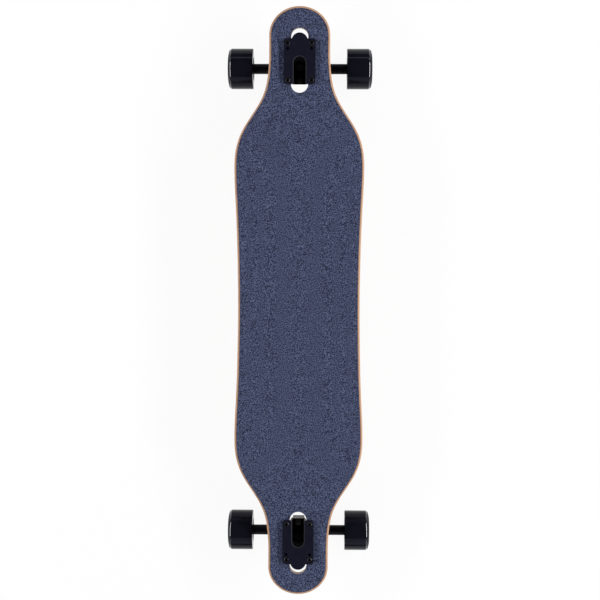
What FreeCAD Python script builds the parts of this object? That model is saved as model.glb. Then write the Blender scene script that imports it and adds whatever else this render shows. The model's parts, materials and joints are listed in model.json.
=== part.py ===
# Drop-through longboard: deck, grip, two reverse-kingpin trucks and four wheels on ball bearings.
# Millimetres. +Z up, the ground at Z = 0, +Y towards the nose, the origin under the middle of the deck.
import FreeCAD, Part
import math
import os

# Deck
deck_length = 1031.0
deck_hip_width = 225.4
deck_waist_width = 212.2
deck_neck_width = 105.5
deck_thickness = 12.0
# Places along the deck, measured in from the tip
deck_hip_inset = 277.5
deck_neck_inset = 90.5
deck_tip_depth = 49.0
deck_edge_radius = 3.0
concave_depth = 6.0
concave_full_inset = 345.5
concave_flat_inset = 180.5
# Shares of the way from neck to hip, and of the gain in width made there
shoulder_shares = ((0.214, 0.065), (0.364, 0.217), (0.513, 0.495), (0.663, 0.783), (0.813, 0.948))
# The same from hip to waist
waist_shares = ((0.31, 0.44), (0.68, 0.87))
grip_thickness = 0.9
grip_inset = 3.6
trim_margin = 10.0

# Cut-out in each neck, measured from the centre of the truck's bolts
cutout_width = 29.6
cutout_outer = 58.5
cutout_inner = 53.0

# Truck placing, measured in from the tip, and bolt pattern
truck_inset = 95.5
bolt_across = 41.3
bolt_along = 63.5
bolt_along_short = 53.98
truck_height = 60.0

# Base plate
plate_width = 55.0
plate_outer = 39.5
plate_inner = 38.5
plate_thickness = 6.0
plate_corner = 5.0
plate_edge_round = 0.8
body_clearance = 0.8
nose_reach = 49.5
nose_drop = 1.0
nose_depth = 8.0
trough_width = 21.0
trough_end = 9.0
trough_depth = 24.5
trough_ledge = 4.5
trough_bevel = 1.2
pad_diameter = 10.0
pad_height = 1.5
pad_inset = 6.2
tower_inset = 1.1
tower_straight = 33.0
tower_chamfer = 3.0
tower_round = 3.5

# Steering geometry
steer_angle = 50.0
axle_inset = 6.7
ring_reach = 38.9
rake = 4.3

# Kingpin, bushings and washers, along the kingpin
kingpin_diameter = 9.5
kingpin_head_across = 14.3
kingpin_head_height = 6.5
kingpin_grip_length = 5.0
kingpin_tail = 3.0
kingpin_nut_across = 14.3
kingpin_nut_height = 9.5
nut_collar_height = 2.8
nut_collar_step = 0.6
bushing_diameter = 24.8
bushing_bore_clearance = 0.3
bushing_bulge = 0.9
bushing_land = 0.5
boardside_bushing_height = 16.5
roadside_bushing_height = 14.5
roadside_bushing_end = 22.0
cup_wall = 1.2
cup_floor = 1.5
cup_rim = 2.0
cup_clearance = 0.3

# Hanger
hanger_width = 180.0
hanger_tube_diameter = 18.0
hanger_middle_diameter = 19.5
hanger_middle_length = 60.0
hanger_taper_length = 30.0
hanger_end_chamfer = 0.8
ring_diameter = 37.0
ring_thickness = 10.0
ring_recess = 2.5
ring_bore = 14.0
ring_round = 1.5
web_thickness = 9.0
web_top_width = 28.0
web_foot_width = 84.0
web_throat = 5.0
web_round = 3.0
spine_width = 9.0
spine_round = 2.5
pivot_diameter = 10.0
pivot_length = 11.0
pivot_neck_diameter = 14.0
pivot_gap = 1.1
pivot_fit = 0.05
pivot_end_gap = 0.3
pivot_nose = 2.0
pivot_cup_wall = 2.5
pivot_cup_floor = 1.5
pivot_boss_wall = 2.5

# Axle, bearings and wheels, along the axle
axle_diameter = 8.0
axle_tail = 1.0
axle_nut_across = 12.7
axle_nut_height = 7.0
speed_washer_diameter = 11.0
speed_washer_thickness = 1.0
bearing_diameter = 22.0
bearing_width = 7.0
bearing_spacing = 10.0
race_thickness = 1.75
ball_diameter = 3.9
ball_count = 7
ball_play = 0.05
cage_thickness = 1.4
cage_back = 0.7
cage_gap = 0.1
shield_thickness = 0.4
shield_gap = 0.35
spacer_wall = 1.5
wheel_diameter = 71.0
wheel_width = 44.5
wheel_lip = 8.5
wheel_shoulder = 6.0
wheel_crown = 1.6
wheel_crown_share = 0.7
wheel_inner_chamfer = 0.8
wheel_outer_mouth = 38.0
wheel_inner_mouth = 42.0
wheel_mouth_round = 1.5
core_diameter = 31.0
core_flange = 1.5
core_shoulder = 1.5
core_rib_depth = 1.2
core_rib_width = 10.0

# Mounting hardware
bolt_diameter = 4.8
bolt_hole_clearance = 0.3
bolt_head_diameter = 9.4
bolt_head_sink = 0.4
bolt_recess_across = 3.2
bolt_recess_depth = 2.2
bolt_tail = 1.5
mount_nut_across = 9.5
mount_nut_height = 5.0
mount_washer_diameter = 10.0
mount_washer_thickness = 1.0

# Levels and points that follow from the sizes above
deck_tip_y = deck_length / 2
deck_hip_y = deck_tip_y - deck_hip_inset
deck_neck_y = deck_tip_y - deck_neck_inset
concave_full_y = deck_tip_y - concave_full_inset
concave_flat_y = deck_tip_y - concave_flat_inset
truck_y = deck_tip_y - truck_inset
axle_z = wheel_diameter / 2
grip_z = axle_z + truck_height
plate_z = grip_z + plate_thickness
deck_z = grip_z - grip_thickness
deck_bottom_z = deck_z - deck_thickness
body_half = cutout_width / 2 - body_clearance
bolt_hole = bolt_diameter + 2 * bolt_hole_clearance

steer = math.radians(steer_angle)
AXIS = FreeCAD.Vector(0, math.cos(steer), math.sin(steer))
PIN = FreeCAD.Vector(0, math.sin(steer), -math.cos(steer))
AXLE = FreeCAD.Vector(0, -axle_inset, axle_z)
RING = AXLE + AXIS * ring_reach - PIN * rake
ACROSS = FreeCAD.Vector(1, 0, 0)
UP = FreeCAD.Vector(0, 0, 1)

# Stations along the kingpin, counted from the ring's centre towards the road
ring_face = ring_thickness / 2 - ring_recess
boardside_top = -ring_face - boardside_bushing_height
seat_station = boardside_top - cup_floor
head_station = seat_station - kingpin_grip_length
roadside_end = ring_face + roadside_bushing_height
nut_station = roadside_end + cup_floor
nut_end = nut_station + kingpin_nut_height
kingpin_end = nut_end + kingpin_tail
bushing_bore = kingpin_diameter / 2 + bushing_bore_clearance
boardside_cup = bushing_diameter / 2 + cup_clearance
roadside_cup = roadside_bushing_end / 2 + cup_clearance

# Stations along the steering axis, counted from the ring's centre towards the pivot
pivot_root = ring_reach + hanger_middle_diameter / 2
cup_face = pivot_root + pivot_gap
pivot_tip = cup_face + pivot_length - pivot_cup_floor - pivot_end_gap
cup_end = cup_face + pivot_length
boss_end = cup_end + pivot_boss_wall
cup_radius = pivot_diameter / 2 + pivot_fit + pivot_cup_wall
boss_radius = cup_radius + pivot_boss_wall

# Stations along the axle, counted from the middle of the board
inner_bearing_x = hanger_width / 2 + speed_washer_thickness
outer_bearing_x = inner_bearing_x + bearing_width + bearing_spacing
stack_end_x = outer_bearing_x + bearing_width
nut_x = stack_end_x + speed_washer_thickness
axle_end_x = nut_x + axle_nut_height + axle_tail
wheel_inner_x = inner_bearing_x - wheel_lip
wheel_outer_x = wheel_inner_x + wheel_width
bearing_starts = (inner_bearing_x, outer_bearing_x)
pitch_radius = (axle_diameter + bearing_diameter) / 4
inner_race_radius = axle_diameter / 2 + race_thickness
outer_race_radius = bearing_diameter / 2 - race_thickness


def vector(x, y, z):
    return FreeCAD.Vector(x, y, z)


def along_pin(station, lift=0.0):
    """A point on the kingpin's line, lifted along the steering axis."""
    return RING + PIN * station + AXIS * lift


def along_axis(station, drop=0.0):
    """A point on the steering axis, dropped along the kingpin."""
    return RING - AXIS * station + PIN * drop


def along_axle(x):
    return AXLE + ACROSS * x


def polygon(points):
    return Part.Face(Part.makePolygon(list(points) + [points[0]]))


def slab(points, half_width):
    """A side profile in the YZ plane, given thickness across the board."""
    face = polygon([vector(-half_width, p.y, p.z) for p in points])
    return face.extrude(ACROSS * (2 * half_width))


def cylinder(radius, start, end):
    return Part.makeCylinder(radius, (end - start).Length, start, end - start)


def ring(outer, inner, start, end):
    return cylinder(outer, start, end).cut(cylinder(inner, start, end))


def turned(path, origin, axis):
    """A profile of (radius, station) points turned about an axis. Three points in one entry are an arc."""
    edges = []
    here = None
    for entry in path + [path[0]]:
        arc = isinstance(entry[0], tuple)
        spots = [vector(radius, 0, station) for radius, station in (entry if arc else (entry,))]
        if here and not here.isEqual(spots[0], 1e-7):
            edges.append(Part.LineSegment(here, spots[0]).toShape())
        if arc:
            edges.append(Part.Arc(*spots).toShape())
        here = spots[-1]
    solid = Part.Face(Part.Wire(edges)).revolve(vector(0, 0, 0), UP, 360)
    solid.Placement = FreeCAD.Placement(origin, FreeCAD.Rotation(UP, axis))
    return solid


def hexagon(across_flats, origin, axis, height):
    radius = across_flats / math.sqrt(3)
    angles = [math.radians(30 + 60 * i) for i in range(6)]
    corners = [vector(radius * math.cos(a), radius * math.sin(a), 0) for a in angles]
    solid = polygon(corners).extrude(UP * height)
    solid.Placement = FreeCAD.Placement(origin, FreeCAD.Rotation(UP, axis))
    return solid


def collar_nut(across_flats, bore, origin, axis, height):
    """A locking nut: a hexagon with a round collar that holds the insert."""
    collar = min(nut_collar_height, height / 2)
    nut = hexagon(across_flats, origin, axis, height - collar)
    end = origin + axis * height
    nut = nut.fuse(cylinder(across_flats / 2 - nut_collar_step, origin, end))
    return nut.cut(cylinder(bore / 2, origin, end)).removeSplitter()


def slot_wire(half_width, y_low, y_high, z):
    """A long outline with round ends, flat at one level."""
    low = y_low + half_width
    high = y_high - half_width
    right = Part.LineSegment(vector(half_width, low, z), vector(half_width, high, z))
    far = Part.Arc(vector(half_width, high, z), vector(0, y_high, z), vector(-half_width, high, z))
    left = Part.LineSegment(vector(-half_width, high, z), vector(-half_width, low, z))
    near = Part.Arc(vector(-half_width, low, z), vector(0, y_low, z), vector(half_width, low, z))
    return Part.Wire([side.toShape() for side in (right, far, left, near)])


def slot(half_width, y_low, y_high, z_low, z_high):
    return Part.Face(slot_wire(half_width, y_low, y_high, z_low)).extrude(UP * (z_high - z_low))


def middle(edge):
    return edge.valueAt((edge.FirstParameter + edge.LastParameter) / 2)


def upright(edge):
    """True for an edge whose middle runs up rather than across."""
    tangent = edge.tangentAt((edge.FirstParameter + edge.LastParameter) / 2)
    return abs(tangent.z) > math.hypot(tangent.x, tangent.y)


def at_truck(shape, end):
    """Moves a shape from the truck's own frame to the nose end (1) or the tail end (-1)."""
    moved = shape.copy()
    if end < 0:
        moved.rotate(vector(0, 0, 0), UP, 180)
    moved.translate(vector(0, end * truck_y, 0))
    return moved


def mirrored(shape):
    return shape.mirror(vector(0, 0, 0), ACROSS)


def write(name, solids):
    plain = [solid for shape in solids for solid in shape.Solids]
    shape = plain[0] if len(plain) == 1 else Part.makeCompound(plain)
    shape.exportStep("parts/" + name + ".step")
    print(name, len(shape.Solids), round(shape.Volume, 1))


# Places of the bolts, in the truck's own frame

bolt_spots = [(x * bolt_across / 2, y * bolt_along / 2) for x in (-1, 1) for y in (-1, 1)]
spare_spots = [(x * bolt_across / 2, bolt_along_short - bolt_along / 2) for x in (-1, 1)]


# Deck and grip


def spline(points):
    """A smooth edge through points, leaving and arriving along the board."""
    forward = vector(0, 1, 0)
    curve = Part.BSplineCurve()
    curve.interpolate(points, InitialTangent=forward, FinalTangent=forward)
    return curve.toShape()


def deck_side(inset):
    """The deck's right edge from tail neck to nose neck, in three edges that meet at the hips."""
    neck = deck_neck_width / 2 - inset
    hip = deck_hip_width / 2 - inset
    waist = deck_waist_width / 2 - inset
    shoulder = [vector(hip, deck_hip_y, 0)]
    run = deck_hip_y - deck_neck_y
    for share, gain in shoulder_shares[::-1]:
        shoulder.append(vector(neck + gain * (hip - neck), deck_neck_y + share * run, 0))
    shoulder.append(vector(neck, deck_neck_y, 0))
    shoulder.append(vector(neck, deck_tip_y - deck_tip_depth, 0))
    nose_side = spline(shoulder)
    flank = [vector(hip + gain * (waist - hip), deck_hip_y * (1 - share), 0) for share, gain in waist_shares]
    flank = shoulder[:1] + flank + [vector(waist, 0, 0)]
    tail_flank = [vector(p.x, -p.y, 0) for p in flank[:-1]]
    waist_side = spline(tail_flank + flank[::-1])
    tail_side = nose_side.mirror(vector(0, 0, 0), vector(0, 1, 0))
    return [tail_side, waist_side, nose_side]


def deck_tip(inset, end):
    """The half ellipse that closes the outline at the nose (1) or the tail (-1)."""
    half_circle = Part.Arc(vector(1, 0, 0), vector(0, end, 0), vector(-1, 0, 0)).toShape()
    stretch = FreeCAD.Matrix()
    stretch.scale(deck_neck_width / 2 - inset, deck_tip_depth - inset, 1)
    stretch.move(0, end * (deck_tip_y - deck_tip_depth), 0)
    return half_circle.transformGeometry(stretch)


def deck_prism(inset):
    """The plan outline as a tall block, to trim the dished sheets with."""
    right = deck_side(inset)
    left = [mirrored(edge) for edge in right]
    edges = right + left + [deck_tip(inset, 1), deck_tip(inset, -1)]
    outline = Part.Wire(Part.__sortEdges__(edges))
    return Part.Face(outline).extrude(UP * (plate_z + concave_depth))


def dished_face(z):
    """A parabola across, at full depth in the middle and fading to flat where the trucks sit."""
    half = deck_hip_width / 2 + trim_margin
    end = deck_tip_y + trim_margin
    depth = concave_depth * (2 * half / deck_hip_width) ** 2
    knots = [-end, -concave_flat_y, -concave_full_y, concave_full_y, concave_flat_y, end]
    repeats = [4, 2, 2, 2, 2, 4]
    spread = [knot for knot, count in zip(knots, repeats) for _ in range(count)]
    poles = []
    for x, share in ((-half, 1.0), (0.0, -1.0), (half, 1.0)):
        row = []
        for i in range(len(spread) - 4):
            y = sum(spread[i + 1:i + 4]) / 3
            rise = depth if abs(y) < (concave_full_y + concave_flat_y) / 2 else 0.0
            row.append(vector(x, y, z + rise * share))
        poles.append(row)
    surface = Part.BSplineSurface()
    surface.buildFromPolesMultsKnots(poles, [3, 3], repeats, [-half, half], knots, False, False, 2, 3)
    return surface.toShape()


def neck_cutters():
    """The cut-outs and bolt holes of both necks."""
    top = plate_z + concave_depth
    cutters = []
    for end in (1, -1):
        cutters.append(at_truck(slot(cutout_width / 2, -cutout_inner, cutout_outer, 0, top), end))
        for x, y in bolt_spots:
            cutters.append(at_truck(Part.makeCylinder(bolt_hole / 2, top, vector(x, y, 0)), end))
    return cutters


def deck():
    board = dished_face(deck_z).extrude(UP * -deck_thickness).common(deck_prism(0.0)).Solids[0]
    rims = [edge for edge in board.Edges if not upright(edge)]
    return board.makeFillet(deck_edge_radius, rims).cut(neck_cutters())


def grip_tape():
    return dished_face(deck_z).extrude(UP * grip_thickness).common(deck_prism(grip_inset)).cut(neck_cutters())


# Mounting hardware


def mounting_bolt(x, y):
    top = plate_z - bolt_head_sink
    radius = bolt_diameter / 2
    head = bolt_head_diameter / 2
    end = deck_bottom_z - mount_washer_thickness - mount_nut_height - bolt_tail
    path = [(0, top), (head, top), (radius, top - head + radius), (radius, end), (0, end)]
    bolt = turned(path, vector(x, y, 0), UP)
    socket = hexagon(bolt_recess_across, vector(x, y, top - bolt_recess_depth), UP, bolt_recess_depth)
    return bolt.cut(socket)


def mounting_washer(x, y):
    base = vector(x, y, deck_bottom_z - mount_washer_thickness)
    return ring(mount_washer_diameter / 2, bolt_hole / 2, base, base + UP * mount_washer_thickness)


def mounting_nut(x, y):
    top = vector(x, y, deck_bottom_z - mount_washer_thickness)
    return collar_nut(mount_nut_across, bolt_diameter, top, UP * -1, mount_nut_height)


# Base plate


def plate_flange():
    box = Part.makeBox(
        plate_width, plate_outer + plate_inner, plate_thickness,
        vector(-plate_width / 2, -plate_inner, grip_z),
    )
    box = box.makeFillet(plate_corner, [edge for edge in box.Edges if upright(edge)])
    rim = [edge for edge in box.Edges if edge.BoundBox.ZMin > plate_z - plate_edge_round]
    return box.makeFillet(plate_edge_round, rim)


def plate_body():
    """The cast body below the flange: bushing seat, tower and pivot boss, narrowing to the boss."""
    inside = grip_z + plate_thickness / 2
    seat_top = along_pin(seat_station, body_half)
    back = tower_inset - plate_inner
    side = [
        vector(0, back, inside),
        vector(0, seat_top.y, inside),
        seat_top,
        along_pin(seat_station, -body_half),
        along_axis(cup_face, -boss_radius),
        along_axis(cup_face),
        along_axis(boss_end),
        along_axis(boss_end, tower_chamfer - boss_radius),
        along_axis(boss_end - tower_chamfer, -boss_radius),
        vector(0, back, plate_z - trough_depth),
    ]
    waist_z = plate_z - tower_straight
    boss_z = along_axis(cup_face, -boss_radius).z
    front = [
        (body_half, plate_z), (body_half, waist_z), (boss_radius, boss_z), (boss_radius, 0),
        (-boss_radius, 0), (-boss_radius, boss_z), (-body_half, waist_z), (-body_half, plate_z),
    ]
    depth = plate_outer + plate_inner
    block = polygon([vector(x, -depth, z) for x, z in front]).extrude(vector(0, 2 * depth, 0))
    tower = slab(side, body_half).common(block).removeSplitter()
    rear_y = along_axis(boss_end, -boss_radius).y
    corners = [edge for edge in tower.Edges if upright(edge) and middle(edge).y < rear_y]
    boss = cylinder(boss_radius, along_axis(cup_face), along_axis(boss_end))
    tip = along_axis(boss_end)
    rim = [edge for edge in boss.Edges if edge.BoundBox.Center.distanceToPoint(tip) < tower_chamfer / 2]
    return tower.makeFillet(tower_round, corners).fuse(boss.makeChamfer(tower_chamfer, rim))


def plate_trough():
    """The trough: a shallow arched mouth, then a sloping seat for the kingpin's head and a level floor."""
    half = trough_width / 2
    far = -2 * plate_inner
    floor = plate_z - trough_depth
    above = plate_z + trough_bevel
    seat = along_pin(head_station)
    low = along_pin(head_station, (floor - seat.z) / AXIS.z)
    high = along_pin(head_station, (above - seat.z) / AXIS.z)
    side = [high, low, vector(0, far, floor), vector(0, far, above)]
    hollow = slab(side, half).common(slot(half, far, trough_end, floor, above))
    bevel = Part.makeLoft(
        [
            slot_wire(half, far, trough_end, plate_z - trough_bevel),
            slot_wire(half + trough_bevel, far - trough_bevel, trough_end + trough_bevel, plate_z),
        ],
        True, True,
    )
    mouth = slot(half, far, trough_end, plate_z - trough_ledge, above)
    return [hollow, mouth, bevel]


def base_plate():
    nose = slot(body_half, -body_half, nose_reach, plate_z - nose_depth, plate_z - nose_drop)
    plate = plate_flange().fuse([nose, plate_body()])
    cutters = plate_trough()
    cutters.append(cylinder(cup_radius, along_axis(pivot_root), along_axis(cup_end)))
    cutters.append(cylinder(kingpin_diameter / 2, along_pin(head_station), along_pin(ring_face)))
    for x, y in bolt_spots + spare_spots:
        cutters.append(Part.makeCylinder(bolt_hole / 2, 2 * plate_thickness, vector(x, y, grip_z)))
    head = bolt_head_diameter / 2
    shank = bolt_diameter / 2
    top = plate_z - bolt_head_sink
    base = top - head + shank
    for x, y in bolt_spots:
        sink = [(0, plate_z), (head, plate_z), (head, top), (shank, base), (0, base)]
        cutters.append(turned(sink, vector(x, y, 0), UP))
    plate = plate.cut(cutters)
    floor = plate_z - trough_depth
    pad = Part.makeCylinder(pad_diameter / 2, pad_height, vector(0, pad_inset - plate_inner, floor))
    return plate.fuse(pad).removeSplitter()


# Kingpin stack


def kingpin():
    top = along_pin(head_station - kingpin_head_height)
    head = hexagon(kingpin_head_across, top, PIN, kingpin_head_height)
    shank = cylinder(kingpin_diameter / 2, along_pin(head_station), along_pin(kingpin_end))
    return head.fuse(shank)


def kingpin_nut():
    return collar_nut(kingpin_nut_across, kingpin_diameter, along_pin(nut_station), PIN, kingpin_nut_height)


def boardside_cup_washer():
    inner = boardside_cup
    outer = boardside_cup + cup_wall
    path = [
        (bushing_bore, seat_station), (outer, seat_station), (outer, boardside_top + cup_rim),
        (inner, boardside_top + cup_rim), (inner, boardside_top), (bushing_bore, boardside_top),
    ]
    return turned(path, RING, PIN)


def roadside_cup_washer():
    inner = roadside_cup
    outer = roadside_cup + cup_wall
    path = [
        (bushing_bore, nut_station), (outer, nut_station), (outer, roadside_end - cup_rim),
        (inner, roadside_end - cup_rim), (inner, roadside_end), (bushing_bore, roadside_end),
    ]
    return turned(path, RING, PIN)


def boardside_bushing():
    radius = bushing_diameter / 2
    top = boardside_top + cup_rim + bushing_land
    low = -ring_thickness / 2 - bushing_land
    barrel = ((radius, top), (radius + bushing_bulge, (top + low) / 2), (radius, low))
    path = [(bushing_bore, boardside_top), (radius, boardside_top), barrel, (radius, -ring_face)]
    return turned(path + [(bushing_bore, -ring_face)], RING, PIN)


def roadside_bushing():
    wide = bushing_diameter / 2
    narrow = roadside_bushing_end / 2
    path = [
        (bushing_bore, ring_face), (wide, ring_face), (wide, ring_thickness / 2 + bushing_land),
        (narrow, roadside_end - cup_rim - bushing_land), (narrow, roadside_end),
        (bushing_bore, roadside_end),
    ]
    return turned(path, RING, PIN)


def pivot_cup():
    bore = pivot_diameter / 2 + pivot_fit
    floor = cup_end - pivot_cup_floor
    path = [
        (0, cup_end), (cup_radius, cup_end), (cup_radius, cup_face),
        (bore, cup_face), (bore, floor - pivot_nose), (bore - pivot_nose, floor), (0, floor),
    ]
    return turned(path, RING, AXIS * -1)


# Hanger and axle


def hanger_ring():
    disc = cylinder(ring_diameter / 2, along_pin(-ring_thickness / 2), along_pin(ring_thickness / 2))
    return disc.makeFillet(ring_round, [edge for edge in disc.Edges if edge.isClosed()])


def hanger_web():
    """The web that spreads from the ring to the bar, with hollow flanks, and a spine on its road side."""
    top = web_top_width / 2
    foot = web_foot_width / 2
    face_drop = -web_thickness / 2
    start = ring_diameter / 4

    def spot(x, station):
        return along_axis(station, face_drop) + ACROSS * x

    halfway = (start + ring_reach) / 2
    throat = (top + foot) / 2 - web_throat
    flank = Part.Arc(spot(top, start), spot(throat, halfway), spot(foot, ring_reach))
    base = Part.LineSegment(spot(foot, ring_reach), spot(-foot, ring_reach))
    back = Part.Arc(spot(-foot, ring_reach), spot(-throat, halfway), spot(-top, start))
    cap = Part.LineSegment(spot(-top, start), spot(top, start))
    face = Part.Face(Part.Wire([edge.toShape() for edge in (flank, base, back, cap)]))
    web = face.extrude(PIN * web_thickness)
    web = web.makeFillet(web_round, [edge for edge in web.Edges if edge.Curve.TypeId == "Part::GeomCircle"])
    side = [
        along_axis(ring_diameter / 2, 0),
        along_axis(ring_diameter / 2, web_thickness / 2),
        along_axis(ring_reach, rake + hanger_middle_diameter / 2),
        along_axis(ring_reach, 0),
    ]
    spine = slab(side, spine_width / 2)
    road_side = [edge for edge in spine.Edges if (middle(edge) - RING).dot(PIN) > web_thickness / 2]
    crest = [edge for edge in road_side if abs(middle(edge).x) > spine_round]
    return web.fuse(spine.makeFillet(spine_round, crest))


def hanger_bar():
    wide = hanger_middle_diameter / 2
    slim = hanger_tube_diameter / 2
    flat = hanger_middle_length / 2
    taper = flat + hanger_taper_length
    end = hanger_width / 2
    face = slim - hanger_end_chamfer
    edge = end - hanger_end_chamfer
    path = [
        (0, -end), (face, -end), (slim, -edge), (slim, -taper), (wide, -flat),
        (wide, flat), (slim, taper), (slim, edge), (face, end), (0, end),
    ]
    return turned(path, AXLE, ACROSS)


def hanger_pivot():
    radius = pivot_diameter / 2
    neck = pivot_neck_diameter / 2
    path = [
        (0, ring_reach), (neck, ring_reach), (neck, pivot_root - pivot_neck_diameter / 4),
        (radius, cup_face - pivot_end_gap), (radius, pivot_tip - pivot_nose),
        (radius - pivot_nose, pivot_tip), (0, pivot_tip),
    ]
    return turned(path, RING, AXIS * -1)


def hanger():
    body = hanger_bar().fuse([hanger_ring(), hanger_web(), hanger_pivot()])
    recess = bushing_diameter / 2 + cup_clearance
    half = ring_thickness / 2
    cutters = [
        cylinder(recess, along_pin(-bushing_diameter), along_pin(-ring_face)),
        cylinder(recess, along_pin(ring_face), along_pin(bushing_diameter)),
        cylinder(ring_bore / 2, along_pin(-half), along_pin(half)),
        cylinder(axle_diameter / 2, along_axle(-hanger_width), along_axle(hanger_width)),
    ]
    return body.cut(cutters)


def axle():
    return cylinder(axle_diameter / 2, along_axle(-axle_end_x), along_axle(axle_end_x))


def axle_nut():
    return collar_nut(axle_nut_across, axle_diameter, along_axle(nut_x), ACROSS, axle_nut_height)


def speed_washers():
    outer = speed_washer_diameter / 2
    spans = [(x, x + speed_washer_thickness) for x in (hanger_width / 2, stack_end_x)]
    return [ring(outer, axle_diameter / 2, along_axle(low), along_axle(high)) for low, high in spans]


def bearing_spacer():
    bore = axle_diameter / 2
    start = inner_bearing_x + bearing_width
    return ring(bore + spacer_wall, bore, along_axle(start), along_axle(outer_bearing_x))


# Ball bearings and wheels, built on the right side of the truck


def ball_track(start):
    return Part.makeTorus(
        pitch_radius, ball_diameter / 2 + ball_play, along_axle(start + bearing_width / 2), ACROSS,
    )


def inner_race(start):
    race = ring(inner_race_radius, axle_diameter / 2, along_axle(start), along_axle(start + bearing_width))
    return race.cut(ball_track(start))


def outer_race(start):
    race = ring(bearing_diameter / 2, outer_race_radius, along_axle(start), along_axle(start + bearing_width))
    return race.cut(ball_track(start))


def bearing_shields(start):
    inner = inner_race_radius + shield_gap
    end = start + bearing_width
    spans = ((start, start + shield_thickness), (end - shield_thickness, end))
    return [ring(outer_race_radius, inner, along_axle(low), along_axle(high)) for low, high in spans]


def ball_spots(start):
    turns = [2 * math.pi * i / ball_count for i in range(ball_count)]
    middle = along_axle(start + bearing_width / 2)
    return [middle + vector(0, math.cos(t), math.sin(t)) * pitch_radius for t in turns]


def bearing_balls(start):
    return [Part.makeSphere(ball_diameter / 2, spot) for spot in ball_spots(start)]


def ball_cage(start):
    """A crown cage: pockets open to one side, joined by a back ring on the other."""
    middle = start + bearing_width / 2
    pocket = ball_diameter / 2 + cage_gap
    outer = pitch_radius + cage_thickness / 2
    inner = pitch_radius - cage_thickness / 2
    crown = ring(outer, inner, along_axle(middle - pocket / 2), along_axle(middle + pocket + cage_back))
    return crown.cut([Part.makeSphere(pocket, spot) for spot in ball_spots(start)])


def wheel_core():
    seat = bearing_diameter / 2
    outer = core_diameter / 2
    start = inner_bearing_x - core_flange
    end = stack_end_x + core_flange
    stop = seat - core_shoulder
    rib_start = (start + end - core_rib_width) / 2
    rib_end = rib_start + core_rib_width
    rib = outer + core_rib_depth
    path = [
        (seat, start), (outer, start), (outer, rib_start), (rib, rib_start), (rib, rib_end), (outer, rib_end),
        (outer, end), (seat, end), (seat, outer_bearing_x), (stop, outer_bearing_x),
        (stop, inner_bearing_x + bearing_width), (seat, inner_bearing_x + bearing_width),
    ]
    return turned(path, AXLE, ACROSS)


def wheel_tyre():
    tread = wheel_diameter / 2
    hub = core_diameter / 2
    start = inner_bearing_x - core_flange
    end = stack_end_x + core_flange
    edge = wheel_outer_x - wheel_crown
    bend = wheel_shoulder * math.sqrt(0.5)
    low = tread - wheel_shoulder
    mouth = wheel_outer_mouth / 2
    lip = mouth + wheel_mouth_round
    shoulder = (
        (tread, edge - wheel_shoulder), (low + bend, edge - wheel_shoulder + bend), (low, edge),
    )
    crown = ((low, edge), ((low + lip) / 2, edge + wheel_crown_share * wheel_crown), (lip, wheel_outer_x))
    path = [
        (hub, start), (wheel_inner_mouth / 2, wheel_inner_x),
        (tread - wheel_inner_chamfer, wheel_inner_x), (tread, wheel_inner_x + wheel_inner_chamfer),
        shoulder, crown, (mouth, wheel_outer_x - wheel_mouth_round), (hub, end),
    ]
    core = wheel_core()
    filled = cylinder(bearing_diameter / 2, along_axle(start), along_axle(end))
    return turned(path, AXLE, ACROSS).cut(core.fuse(filled))


# Assembly

os.makedirs("parts", exist_ok=True)
write("deck", [deck()])
write("grip_tape", [grip_tape()])
for piece, make in (("bolts", mounting_bolt), ("nuts", mounting_nut), ("washers", mounting_washer)):
    write("mounting_" + piece, [at_truck(make(x, y), end) for end in (1, -1) for x, y in bolt_spots])

fixed_pieces = {
    "baseplate": base_plate(),
    "kingpin": kingpin(),
    "kingpin_nut": kingpin_nut(),
    "boardside_cup_washer": boardside_cup_washer(),
    "roadside_cup_washer": roadside_cup_washer(),
    "boardside_bushing": boardside_bushing(),
    "roadside_bushing": roadside_bushing(),
    "pivot_cup": pivot_cup(),
    "hanger": hanger(),
    "axle": axle(),
}
paired_pieces = {
    "axle_nuts": [axle_nut()],
    "speed_washers": speed_washers(),
    "bearing_spacers": [bearing_spacer()],
    "inner_races": [inner_race(start) for start in bearing_starts],
}
wheel_pieces = {
    "tyre": [wheel_tyre()],
    "core": [wheel_core()],
    "outer_races": [outer_race(start) for start in bearing_starts],
    "bearing_shields": [shield for start in bearing_starts for shield in bearing_shields(start)],
    "bearing_balls": [ball for start in bearing_starts for ball in bearing_balls(start)],
    "ball_cages": [ball_cage(start) for start in bearing_starts],
}
for truck, end in (("front", 1), ("rear", -1)):
    for piece, solid in fixed_pieces.items():
        write(truck + "_" + piece, [at_truck(solid, end)])
    for piece, solids in paired_pieces.items():
        both = solids + [mirrored(solid) for solid in solids]
        write(truck + "_" + piece, [at_truck(solid, end) for solid in both])
    for side, sign in (("left", -1), ("right", 1)):
        for piece, solids in wheel_pieces.items():
            placed = solids if sign * end > 0 else [mirrored(solid) for solid in solids]
            write("_".join((truck, side, piece)), [at_truck(solid, end) for solid in placed])
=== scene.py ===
# %% [markdown]
# # A drop-through longboard
# The CAD model brings every piece of the board at its real size and place. Here each piece gets its finish,
# the small fasteners get the shapes that a lathe or a press gives them, and a camera looks down on the
# board as it lies on its wheels.

import json
import math

import bmesh
import bpy
from mathutils import Matrix, Vector


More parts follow.
